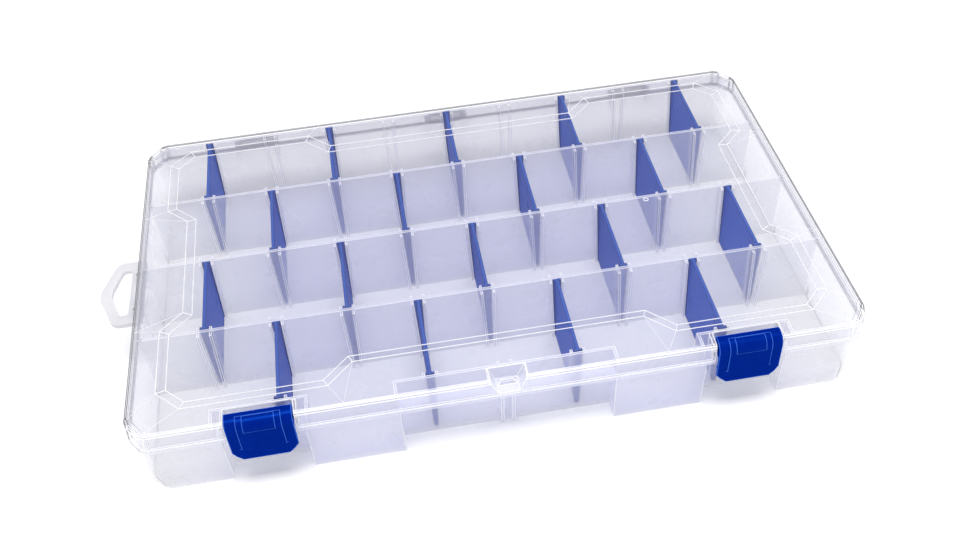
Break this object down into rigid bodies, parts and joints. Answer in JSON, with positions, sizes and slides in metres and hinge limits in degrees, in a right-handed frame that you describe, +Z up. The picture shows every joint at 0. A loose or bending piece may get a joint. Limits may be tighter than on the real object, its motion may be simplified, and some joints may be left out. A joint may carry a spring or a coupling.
{
  "type": "fishing tackle box",
  "caption": "Flat see-through utility box with a hinged lid, snap latches, moulded partitions, lift-out dividers and a hang loop at one end.",
  "frame": {"origin": "centre of the tray's underside, on the surface that the box rests on", "axes": "+X along the box's length to the right end, +Y from the latches to the hinges, +Z up"},
  "size_m": [0.3785, 0.2304, 0.046],
  "materials": {
    "clear_tray": "natural polypropylene, lightly frosted, see-through",
    "clear_lid": "natural polypropylene, clear and glossy",
    "blue_divider": "blue translucent polypropylene",
    "blue_latch": "deep blue, glossy",
    "frosted_tab": "natural polypropylene, frosted"
  },
  "bodies": {
    "base": {"base_tray": "clear_tray", "hang_tab": "frosted_tab", "divider_row1_1": "blue_divider", "divider_row1_2": "blue_divider", "divider_row1_3": "blue_divider", "divider_row1_4": "blue_divider", "divider_row1_5": "blue_divider", "divider_row2_1": "blue_divider", "divider_row2_2": "blue_divider", "divider_row2_3": "blue_divider", "divider_row2_4": "blue_divider", "divider_row3_1": "blue_divider", "divider_row3_2": "blue_divider", "divider_row3_3": "blue_divider", "divider_row3_4": "blue_divider", "divider_row3_5": "blue_divider", "divider_row4_1": "blue_divider", "divider_row4_2": "blue_divider", "divider_row4_3": "blue_divider", "divider_row4_4": "blue_divider"},
    "lid": {"lid": "clear_lid"},
    "latch_left": {"latch_left": "blue_latch"},
    "latch_right": {"latch_right": "blue_latch"}
  },
  "joints": [
    {"name": "lid_hinge", "type": "hinge", "parent": "base", "child": "lid", "pos_m": [0, 0.114, 0.034], "axis": [-1, 0, 0], "range_deg": [0, 180]},
    {"name": "latch_left_pivot", "type": "hinge", "parent": "lid", "child": "latch_left", "pos_m": [-0.1163, -0.1076, 0.041], "axis": [-1, 0, 0], "range_deg": [0, 105]},
    {"name": "latch_right_pivot", "type": "hinge", "parent": "lid", "child": "latch_right", "pos_m": [0.1163, -0.1076, 0.041], "axis": [-1, 0, 0], "range_deg": [0, 105]}
  ]
}
